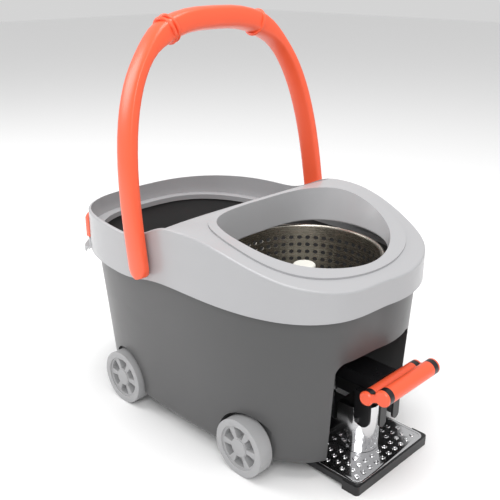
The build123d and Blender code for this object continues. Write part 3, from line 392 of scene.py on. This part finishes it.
# ----------------------------------------------------------------------------------------------
# Operators
# ----------------------------------------------------------------------------------------------
class BUCKET_OT_finishes(bpy.types.Operator):
    """Make the finishes and put one on every part of the frame"""
    bl_idname = "bucket.finishes"
    bl_label = "Finishes"

    def execute(self, context):
        MATERIALS.update(build_materials(context.scene.bucket_colours))
        for entry in record["subparts"]:
            node = frame["nodes"][entry["node"]]
            node.data.materials.clear()
            node.data.materials.append(MATERIALS[entry["material_slot"]])
        return {"FINISHED"}


class BUCKET_OT_handle(bpy.types.Operator):
    """Sweep the carry handle: flat legs that swell into a rounded grip, with beads at its ends"""
    bl_idname = "bucket.handle"
    bl_label = "Carry Handle"

    exponent = 2.9              # squareness of the arch
    lean = math.radians(8.0)    # towards the rear
    arch_steps = 44
    leg_inset = 0.0065          # outside of a leg to its centre line
    foot_drop = 0.015           # pivot down to the end of a foot
    foot_rounding = ((0.0, 0.22), (0.0012, 0.55), (0.0045, 0.86), (0.0115, 1.0))  # rise, share of width
    grip_half_span = 0.074
    swell_length = 0.045        # over which a leg swells into the grip
    grip_flatness = 0.93
    corner_share = 0.62         # corner rounding, as a share of half the thickness
    bead_place_y = 0.071        # middle of the grip to its first bead
    bead_pitch = 0.0055
    bead_radius = 0.0023
    bead_proud = 0.0014         # how far a bead's ring stands out of the grip, front to back
    bead_proud_across = 0.0016
    search_steps = 400          # of the arch, when a bead is placed on it

    def centre_line(self, angle, span, rise):
        """Point of the arch from the pivot, as y and z; the angle runs from one foot to the other."""
        power = 2.0 / self.exponent
        across = math.cos(angle)
        return (math.copysign(abs(across) ** power, across) * -span, abs(math.sin(angle)) ** power * rise)

    def section_at(self, y, sizes):
        """Half width and half thickness of the handle at a point of its centre line."""
        reach = min(1.0, max(0.0, (abs(y) - self.grip_half_span) / self.swell_length))
        swell = 0.5 + 0.5 * math.cos(math.pi * reach)
        width = sizes.handle_width + (sizes.grip_diameter - sizes.handle_width) * swell
        grip_thickness = sizes.grip_diameter * self.grip_flatness
        thick = sizes.handle_thickness + (grip_thickness - sizes.handle_thickness) * swell
        return width / 2, thick / 2

    def stations_of(self, span, rise):
        """Points of the centre line from foot to foot, with the share of the full width at each."""
        feet = [(-span, up - self.foot_drop, share) for up, share in self.foot_rounding]
        arch = [(*self.centre_line(math.pi * step / self.arch_steps, span, rise), 1.0)
                for step in range(1, self.arch_steps)]
        return feet + arch + [(-y, z, share) for y, z, share in reversed(feet)]

    def execute(self, context):
        sizes = context.scene.bucket_sizes
        pivot = Vector(JOINTS["handle_swing"]["pos_m"])
        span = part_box("carry_handle")[1].y - self.leg_inset
        stations = self.stations_of(span, sizes.handle_rise)
        handle = self.sweep(pivot, stations, sizes)
        tidy_mesh(handle)
        beads = []
        for side, offsets in ((-1, (0.0, self.bead_pitch)), (1, (0.0,))):
            for offset in offsets:
                beads.append(self.bead(pivot, side, self.bead_place_y + offset, span, sizes))
        whole = joined([handle] + beads, "carry_handle_moulding")
        bpy.ops.object.mode_set(mode="EDIT")
        bpy.ops.mesh.select_all(action="SELECT")
        bpy.ops.transform.rotate(value=self.lean, orient_axis="Y", center_override=tuple(pivot))
        bpy.ops.object.mode_set(mode="OBJECT")
        settle(whole, angle=50.0)
        finish_piece(whole, "handle", "orange", "carry_handle", "handle_grip", "grip_rings")
        return {"FINISHED"}

    def sweep(self, pivot, stations, sizes):
        """Extrude a rounded section from station to station, turning and sizing it at each."""
        clear_selection()
        y, z, share = stations[0]
        start = (pivot.x, y, pivot.z + z)
        bpy.ops.mesh.primitive_plane_add(size=1.0, location=start)
        handle = started("carry_handle_moulding")
        half_width, half_thick = self.section_at(y, sizes)
        bpy.ops.transform.resize(value=(2 * half_width * share, 2 * half_thick, 1.0), center_override=start)
        bpy.ops.mesh.select_mode(type="VERT")
        bpy.ops.mesh.bevel(offset=half_thick * self.corner_share, segments=4, affect="VERTICES",
                           clamp_overlap=True)
        bpy.ops.mesh.select_mode(type="FACE")
        bpy.ops.mesh.select_all(action="SELECT")
        heading = 0.0
        before = (half_width * share, half_thick)
        foot = len(self.foot_rounding)
        for index in range(1, len(stations)):
            last_y, last_z = y, z
            y, z, share = stations[index]
            here = (pivot.x, y, pivot.z + z)
            bpy.ops.mesh.extrude_region_move(
                TRANSFORM_OT_translate={"value": (0.0, y - last_y, z - last_z)})
            if index < foot:
                turn = 0.0
            elif index > len(stations) - foot - 1:
                turn = math.pi
            else:
                turn = math.atan2(stations[index + 1][0] - last_y, stations[index + 1][1] - last_z)
            bpy.ops.transform.rotate(value=turn - heading, orient_axis="X", center_override=here)
            heading = turn
            half_width, half_thick = self.section_at(y, sizes)
            wide = half_width * share
            thicker = half_thick / before[1]
            bpy.ops.transform.resize(value=(wide / before[0], thicker, thicker), center_override=here)
            before = (wide, half_thick)
        bpy.ops.object.mode_set(mode="OBJECT")
        return handle

    def bead(self, pivot, side, distance, span, sizes):
        """Thin ring around the grip, square to its centre line."""
        (y, z), slope = self.bead_place(side, distance, span, sizes.handle_rise)
        half_width, half_thick = self.section_at(y, sizes)
        here = (pivot.x, y, pivot.z + z)
        reach = half_width + self.bead_proud
        clear_selection()
        bpy.ops.mesh.primitive_torus_add(location=here, rotation=(-slope, 0.0, 0.0), major_radius=reach,
                                         minor_radius=self.bead_radius, major_segments=40,
                                         minor_segments=10)
        bead = started("bead")
        ratio = (half_thick + self.bead_proud_across) / reach
        bpy.ops.transform.resize(value=(1.0, ratio, ratio), center_override=here)
        bpy.ops.object.mode_set(mode="OBJECT")
        settle(bead)
        return bead

    def bead_place(self, side, distance, span, rise):
        """Point of the centre line at a distance from the middle, and the line's slope there."""
        step = math.pi / self.search_steps
        line = [self.centre_line(index * step, span, rise)
                for index in range(1, self.search_steps // 2 + 1)]
        best = min(range(len(line) - 1), key=lambda index: abs(abs(line[index][0]) - distance))
        y, z = line[best]
        next_y, next_z = line[best + 1]
        slope = math.atan2(next_y - y, next_z - z)
        return (side * abs(y), z), slope if side < 0 else -slope


class BUCKET_OT_basket(bpy.types.Operator):
    """Spin basket: perforated wall, rolled rim and slotted floor in thin steel"""
    bl_idname = "bucket.basket"
    bl_label = "Spin Basket"

    columns = 52
    hole_rows = 6
    row_height = 0.0096
    first_row_drop = 0.0095     # top of the wall to the upper edge of the first row
    hole_growth = 1.12          # a hole is cut larger, because smoothing shrinks it
    rim_radius = 0.0026         # of the rolled edge
    rim_overlap = 0.0006        # wall into the rolled edge
    wall_taper = 0.0075         # radius at the top less the radius at the floor
    floor_rings = (0.88, 0.42, 0.24)    # shares of the floor's radius
    slot_reach = (0.5, 0.8)             # shares between which a slot's middle lies
    floor_sides = 48
    sides_per_slot = 4
    slot_margin = 0.0010

    def execute(self, context):
        sizes = context.scene.bucket_sizes
        low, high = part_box("basket_bowl")
        centre = (low + high) / 2
        outer_radius = (high.x - low.x) / 2
        wall_top = high.z - self.rim_radius
        top_radius = outer_radius - 2 * self.rim_radius + self.rim_overlap
        floor_radius = top_radius - self.wall_taper
        wall = self.wall(centre, low.z, wall_top, floor_radius, top_radius, sizes)
        clear_selection()
        bpy.ops.mesh.primitive_torus_add(location=(centre.x, centre.y, wall_top),
                                         major_radius=outer_radius - self.rim_radius,
                                         minor_radius=self.rim_radius, major_segments=96,
                                         minor_segments=16)
        rim = started("basket_rim")
        bpy.ops.object.mode_set(mode="OBJECT")
        settle(rim)
        floor = self.floor_disc(centre, low.z, floor_radius, sizes.sheet_thickness)
        basket = joined([wall, rim, floor], "basket_steelwork")
        settle(basket, angle=40.0)
        finish_piece(basket, "basket", "stainless", "basket_bowl")
        return {"FINISHED"}

    def wall(self, centre, bottom, top, floor_radius, top_radius, sizes):
        """Open cone cut into rows, with a round hole in each cell of the rows."""
        clear_selection()
        bpy.ops.mesh.primitive_cone_add(vertices=self.columns, radius1=floor_radius, radius2=top_radius,
                                        depth=top - bottom, end_fill_type="NOTHING",
                                        location=(centre.x, centre.y, bottom + (top - bottom) / 2))
        wall = started("basket_wall")
        first_row = top - self.first_row_drop
        cuts = [first_row - row * self.row_height for row in range(self.hole_rows + 1)]
        for height in cuts:
            bpy.ops.mesh.select_all(action="SELECT")
            bpy.ops.mesh.bisect(plane_co=(centre.x, centre.y, height), plane_no=(0.0, 0.0, 1.0))
        pick(wall, faces=lambda face: cuts[-1] < (wall.matrix_world @ face.center).z < cuts[0])
        cell = 2 * math.pi * top_radius / self.columns
        inset = (cell - sizes.hole_diameter * self.hole_growth) / 2
        bpy.ops.mesh.inset(thickness=inset, use_individual=True, use_even_offset=False)
        bpy.ops.mesh.delete(type="FACE")
        bpy.ops.object.mode_set(mode="OBJECT")
        tidy_mesh(wall)
        rounding = wall.modifiers.new("Rounding", "SUBSURF")
        rounding.levels = 1
        rounding.render_levels = 1
        add_sheet(wall, sizes.sheet_thickness, -1.0)
        apply_modifiers(wall)
        settle(wall, angle=40.0)
        return wall

    def floor_disc(self, centre, height, radius, thickness):
        """Floor with a ring of radial drain slots."""
        middle = (centre.x, centre.y, height + thickness)
        clear_selection()
        bpy.ops.mesh.primitive_circle_add(vertices=self.floor_sides, radius=radius, fill_type="NOTHING",
                                          location=middle)
        disc = started("basket_floor")
        bpy.ops.mesh.select_all(action="SELECT")
        before = 1.0
        for share in self.floor_rings:
            bpy.ops.mesh.extrude_region_move()
            bpy.ops.transform.resize(value=(share / before, share / before, 1.0), center_override=middle)
            before = share
        sector_angle = 360.0 / self.floor_sides
        nearest, farthest = (share * radius for share in self.slot_reach)

        def slotted(face):
            place = disc.matrix_world @ face.center - Vector(middle)
            sector = int((math.degrees(math.atan2(place.y, place.x)) % 360.0) / sector_angle)
            return nearest < place.length < farthest and sector % self.sides_per_slot == 0
        pick(disc, faces=slotted)
        bpy.ops.mesh.inset(thickness=self.slot_margin, use_individual=True)
        bpy.ops.mesh.delete(type="FACE")
        bpy.ops.object.mode_set(mode="OBJECT")
        tidy_mesh(disc)
        add_sheet(disc, thickness, 0.0)
        apply_modifiers(disc)
        settle(disc)
        return disc


class BUCKET_OT_wheels(bpy.types.Operator):
    """Spoked wheels with rounded rims and dished pockets, modelled once and copied"""
    bl_idname = "bucket.wheels"
    bl_label = "Wheels"

    segments = 48
    rim_width = 0.0085
    step_width = 0.0016         # flat ring between the rim and the spokes
    spoke_length = 0.0150
    face_depth = 0.0022         # rim down to the spokes
    hub_rise = 0.0014           # hub above the spokes
    spoke_count = 6
    spoke_half_angle = 7.6      # degrees
    pocket_inner_gap = 0.001    # least distance from the hub to the middle of a pocket's face
    pocket_outer_gap = 0.012    # the same from the tread
    pocket_margin = 0.0010
    edge_rounding = 0.0016

    def execute(self, context):
        first = self.wheel(WHEELS[0], context.scene.bucket_sizes.spoke_dish)
        wheels = [first] + [self.wheel_copy(first, place) for place in WHEELS[1:]]
        for place, wheel in zip(WHEELS, wheels):
            finish_piece(wheel, f"wheel_{place}", "wheel_grey", f"wheel_{place}", f"hub_cap_{place}")
        return {"FINISHED"}

    def side(self, place):
        return -1.0 if place.endswith("right") else 1.0

    def wheel_copy(self, first, place):
        """Copy of the first wheel at another place, turned half round on the other side."""
        copy = own_copy(first, f"spoked_wheel_{place}")
        start, end = (sum(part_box(f"wheel_{name}"), Vector()) / 2 for name in (WHEELS[0], place))
        make_active(copy)
        bpy.ops.object.mode_set(mode="EDIT")
        bpy.ops.mesh.select_all(action="SELECT")
        bpy.ops.transform.translate(value=end - start)
        if self.side(place) != self.side(WHEELS[0]):
            bpy.ops.transform.rotate(value=math.pi, orient_axis="Z", center_override=end)
        bpy.ops.object.mode_set(mode="OBJECT")
        return copy

    def wheel(self, place, dish):
        low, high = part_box(f"wheel_{place}")
        side = self.side(place)
        centre = (low + high) / 2
        radius = (high.z - low.z) / 2
        width = high.y - low.y
        outer_y = centre.y + side * width / 2
        clear_selection()
        bpy.ops.mesh.primitive_cylinder_add(vertices=self.segments, radius=radius, depth=width,
                                            location=centre, rotation=(-side * math.pi / 2, 0.0, 0.0))
        wheel = started(f"spoked_wheel_{place}")
        bpy.ops.object.mode_set(mode="OBJECT")
        bpy.ops.object.transform_apply(location=True, rotation=True, scale=True)
        bpy.ops.object.mode_set(mode="EDIT")
        pick(wheel, faces=lambda face: abs(face.center.y - outer_y) < TOUCHING)
        bpy.ops.mesh.inset(thickness=self.rim_width)
        self.push(-side * self.face_depth)
        bpy.ops.mesh.inset(thickness=self.step_width)
        bpy.ops.mesh.inset(thickness=self.spoke_length)
        self.push(side * self.hub_rise)
        hub_radius = radius - self.rim_width - self.step_width - self.spoke_length
        pick(wheel, faces=self.pocket_test(centre, outer_y - side * self.face_depth, hub_radius, radius))
        bpy.ops.mesh.inset(thickness=self.pocket_margin)
        self.push(-side * dish)
        bpy.ops.object.mode_set(mode="OBJECT")
        tidy_mesh(wheel)
        add_bevel(wheel, self.edge_rounding, 3, degrees=32.0)
        apply_modifiers(wheel)
        settle(wheel, angle=40.0)
        return wheel

    def push(self, distance):
        """Extrude the chosen faces along the axle."""
        bpy.ops.mesh.extrude_region_move(TRANSFORM_OT_translate={"value": (0.0, distance, 0.0)})

    def pocket_test(self, centre, face_y, hub_radius, radius):
        """Test for the flat faces between two spokes."""
        pitch = 360.0 / self.spoke_count

        def pocket(face):
            away = face.center - centre
            around = math.degrees(math.atan2(away.z, away.x)) % pitch
            distance = math.hypot(away.x, away.z)
            flat = abs(face.normal.y) > FACING and abs(face.center.y - face_y) < TOUCHING
            between = self.spoke_half_angle < around < pitch - self.spoke_half_angle
            on_face = hub_radius + self.pocket_inner_gap < distance < radius - self.pocket_outer_gap
            return flat and between and on_face
        return pocket


class BUCKET_OT_foot_plate(bpy.types.Operator):
    """Pressed steel foot plate with a raised edge and rows of pierced studs"""
    bl_idname = "bucket.foot_plate"
    bl_label = "Foot Plate"

    sheet = 0.0015
    edge_width = 0.0032
    panel_drop = 0.0004         # raised edge down to the panel
    edge_rounding = 0.0006
    corner_radius = 0.009
    stud_height = 0.0016
    stud_sides = 16
    stud_taper = 0.62           # top of a stud as a share of its foot
    stud_lip = 0.22             # of its radius, around the hole
    hole_depth = 0.0014
    column_share = 0.87         # pitch of the columns as a share of the pitch in a column
    row_margin = 0.012          # taken off the width before the rows are counted
    column_margin = 0.010
    first_column = 0.0105       # from the plate's front edge
    side_gap = 0.0085           # from its side edges

    def execute(self, context):
        sizes = context.scene.bucket_sizes
        low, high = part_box("foot_plate")
        middle = (low + high) / 2
        clear_selection()
        bpy.ops.mesh.primitive_cube_add(size=1.0, location=(middle.x, middle.y, low.z + self.sheet / 2),
                                        scale=(high.x - low.x, high.y - low.y, self.sheet))
        plate = started("foot_plate_pressing")
        bpy.ops.object.mode_set(mode="OBJECT")
        bpy.ops.object.transform_apply(location=True, rotation=True, scale=True)
        bpy.ops.object.mode_set(mode="EDIT")
        pick(plate, edges=lambda edge: self.front_corner(plate, edge, high.x))
        bpy.ops.mesh.bevel(offset=self.corner_radius, segments=5)
        pick(plate, faces=lambda face: face.normal.z > FACING)
        bpy.ops.mesh.inset(thickness=self.edge_width)
        bpy.ops.mesh.extrude_region_move(TRANSFORM_OT_translate={"value": (0.0, 0.0, -self.panel_drop)})
        bpy.ops.object.mode_set(mode="OBJECT")
        add_bevel(plate, self.edge_rounding, 2)
        apply_modifiers(plate)
        settle(plate)
        level = low.z + self.sheet - self.panel_drop
        whole = joined([plate] + self.studs(low, high, level, sizes), "foot_plate_pressing")
        settle(whole)
        finish_piece(whole, "bucket", "polished_stainless", "foot_plate")
        return {"FINISHED"}

    def front_corner(self, plate, edge, front):
        ends = [plate.data.vertices[index].co for index in edge.vertices]
        upright = abs(ends[0].z - ends[1].z) > self.sheet / 3
        return upright and all(abs(end.x - front) < self.sheet / 3 for end in ends)

    def stud(self, radius):
        """Tapered stud with a hole in its top, standing on the origin."""
        clear_selection()
        bpy.ops.mesh.primitive_cylinder_add(vertices=self.stud_sides, radius=radius, depth=self.stud_height,
                                            end_fill_type="NGON",
                                            location=(0.0, 0.0, self.stud_height / 2))
        stud = started("stud")
        pick(stud, faces=lambda face: face.normal.z > FACING)
        bpy.ops.transform.resize(value=(self.stud_taper, self.stud_taper, 1.0),
                                 center_override=(0.0, 0.0, self.stud_height))
        bpy.ops.mesh.inset(thickness=radius * self.stud_lip)
        bpy.ops.mesh.extrude_region_move(TRANSFORM_OT_translate={"value": (0.0, 0.0, -self.hole_depth)})
        bpy.ops.object.mode_set(mode="OBJECT")
        return stud

    def studs(self, low, high, level, sizes):
        """Staggered columns of studs over the part of the plate that the cover leaves free."""
        cover_low, cover_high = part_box("mechanism_cover")
        radius = sizes.stud_diameter / 2
        row_pitch = sizes.stud_pitch
        column_pitch = row_pitch * self.column_share
        stud = self.stud(radius)
        copies = []
        rows = int((high.y - low.y - self.row_margin) / row_pitch)
        columns = int((high.x - low.x - self.column_margin) / column_pitch)
        for column in range(columns):
            stagger = row_pitch / 2 if column % 2 else 0.0
            for row in range(rows + 1):
                x = high.x - self.first_column - column * column_pitch
                y = (low.y + high.y) / 2 + (row - rows / 2) * row_pitch + stagger
                beside = abs(y) > (cover_high.y - cover_low.y) / 2 + radius
                if abs(y) < high.y - self.side_gap and (beside or x > cover_high.x + radius):
                    copy = own_copy(stud, "stud")
                    copy.location = (x, y, level)
                    copies.append(copy)
        bpy.data.objects.remove(stud)
        return copies


class BUCKET_OT_rear_grip(bpy.types.Operator):
    """Rounded orange pad and pouring lip on the rear of the collar"""
    bl_idname = "bucket.rear_grip"
    bl_label = "Rear Grip Pad"

    pad_rounding = 0.0019
    lip_rounding = 0.0010

    def execute(self, context):
        pad = rounded_copy("rear_grip_pad", "rear_pad_moulding", self.pad_rounding, 3)
        finish_piece(pad, "bucket", "orange", "rear_grip_pad")
        lip = rounded_copy("rear_grip", "pouring_lip_moulding", self.lip_rounding, 2)
        finish_piece(lip, "bucket", "collar_grey", "rear_grip")
        return {"FINISHED"}


def rounded_copy(node, name, width, segments):
    """A copy of a frame part with its flat faces merged and its edges rounded."""
    copy = own_copy(frame["nodes"][node], name)
    copy.parent = None
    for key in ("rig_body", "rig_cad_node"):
        if key in copy:
            del copy[key]
    tidy_mesh(copy)
    bpy.ops.object.mode_set(mode="EDIT")
    bpy.ops.mesh.select_all(action="SELECT")
    bpy.ops.mesh.dissolve_limited(angle_limit=math.radians(1.0))
    bpy.ops.object.mode_set(mode="OBJECT")
    add_bevel(copy, width, segments, degrees=40.0)
    apply_modifiers(copy)
    settle(copy, angle=40.0)
    return copy


class BUCKET_OT_stage(bpy.types.Operator):
    """Pale floor, soft studio light and the camera"""
    bl_idname = "bucket.stage"
    bl_label = "Stage"

    floor_size = 14.0
    floor_colour = (0.92, 0.92, 0.92, 1.0)
    backdrop_strength = 0.66
    lights = (("key_light", (1.3, -1.5, 1.9), 1.3, 24.0),     # name, place, size, watts
              ("left_light", (-1.7, -1.0, 1.2), 1.1, 14.0),
              ("top_light", (0.1, 0.1, 2.3), 1.6, 30.0))
    light_target = (0.0, 0.0, 0.2)
    camera_place = (0.6231, -0.6334, 0.5574)
    camera_direction = (-0.6586, 0.6612, -0.3594)
    lens = 53.1

    def execute(self, context):
        self.floor()
        self.backdrop(context)
        for light in self.lights:
            self.area(*light)
        self.camera(context)
        context.scene.view_settings.view_transform = "Standard"
        return {"FINISHED"}

    def floor(self):
        material, _, shader = empty_material("Studio Floor")
        shader.inputs["Base Color"].default_value = self.floor_colour
        shader.inputs["Roughness"].default_value = 0.85
        clear_selection()
        bpy.ops.mesh.primitive_plane_add(size=self.floor_size, location=(0.0, 0.0, 0.0))
        floor = started("studio_floor")
        bpy.ops.object.mode_set(mode="OBJECT")
        floor.data.materials.append(material)

    def backdrop(self, context):
        world = bpy.data.worlds.new("Studio")
        world.use_nodes = True
        backdrop = world.node_tree.nodes["Background"]
        backdrop.inputs["Color"].default_value = (1.0, 1.0, 1.0, 1.0)
        backdrop.inputs["Strength"].default_value = self.backdrop_strength
        context.scene.world = world

    def area(self, name, place, size, power):
        light = bpy.data.lights.new(name, "AREA")
        light.shape = "DISK"
        light.size = size
        light.energy = power
        lamp = bpy.data.objects.new(name, light)
        lamp.location = place
        self.aim(lamp, Vector(self.light_target) - Vector(place))
        put_in_scene(lamp)

    def camera(self, context):
        data = bpy.data.cameras.new("studio_camera")
        data.lens = self.lens
        data.sensor_width = 36.0
        camera = bpy.data.objects.new("studio_camera", data)
        camera.location = self.camera_place
        self.aim(camera, Vector(self.camera_direction))
        put_in_scene(camera)
        context.scene.camera = camera

    def aim(self, piece, direction):
        piece.rotation_euler = direction.to_track_quat("-Z", "Y").to_euler()


STEPS = (BUCKET_OT_finishes, BUCKET_OT_handle, BUCKET_OT_basket, BUCKET_OT_wheels, BUCKET_OT_foot_plate,
         BUCKET_OT_rear_grip, BUCKET_OT_stage)


class BUCKET_PT_panel(bpy.types.Panel):
    """Builds the bucket step by step"""
    bl_idname = "BUCKET_PT_panel"
    bl_label = "Spin Mop Bucket"
    bl_space_type = "VIEW_3D"
    bl_region_type = "UI"
    bl_category = "Bucket"

    def draw(self, context):
        for step in STEPS:
            self.layout.operator(step.bl_idname)
        for group in (context.scene.bucket_sizes, context.scene.bucket_colours):
            for name in group.__annotations__:
                self.layout.prop(group, name)


CLASSES = (BucketSizes, BucketColours) + STEPS + (BUCKET_PT_panel,)


def register():
    for item in CLASSES:
        bpy.utils.register_class(item)
    bpy.types.Scene.bucket_sizes = bpy.props.PointerProperty(type=BucketSizes)
    bpy.types.Scene.bucket_colours = bpy.props.PointerProperty(type=BucketColours)


def unregister():
    del bpy.types.Scene.bucket_colours
    del bpy.types.Scene.bucket_sizes
    for item in reversed(CLASSES):
        bpy.utils.unregister_class(item)


def main():
    register()
    bpy.ops.bucket.finishes()
    bpy.ops.bucket.handle()
    bpy.ops.bucket.basket()
    bpy.ops.bucket.wheels()
    bpy.ops.bucket.foot_plate()
    bpy.ops.bucket.rear_grip()
    bpy.ops.bucket.stage()


if __name__ == "__main__":
    main()
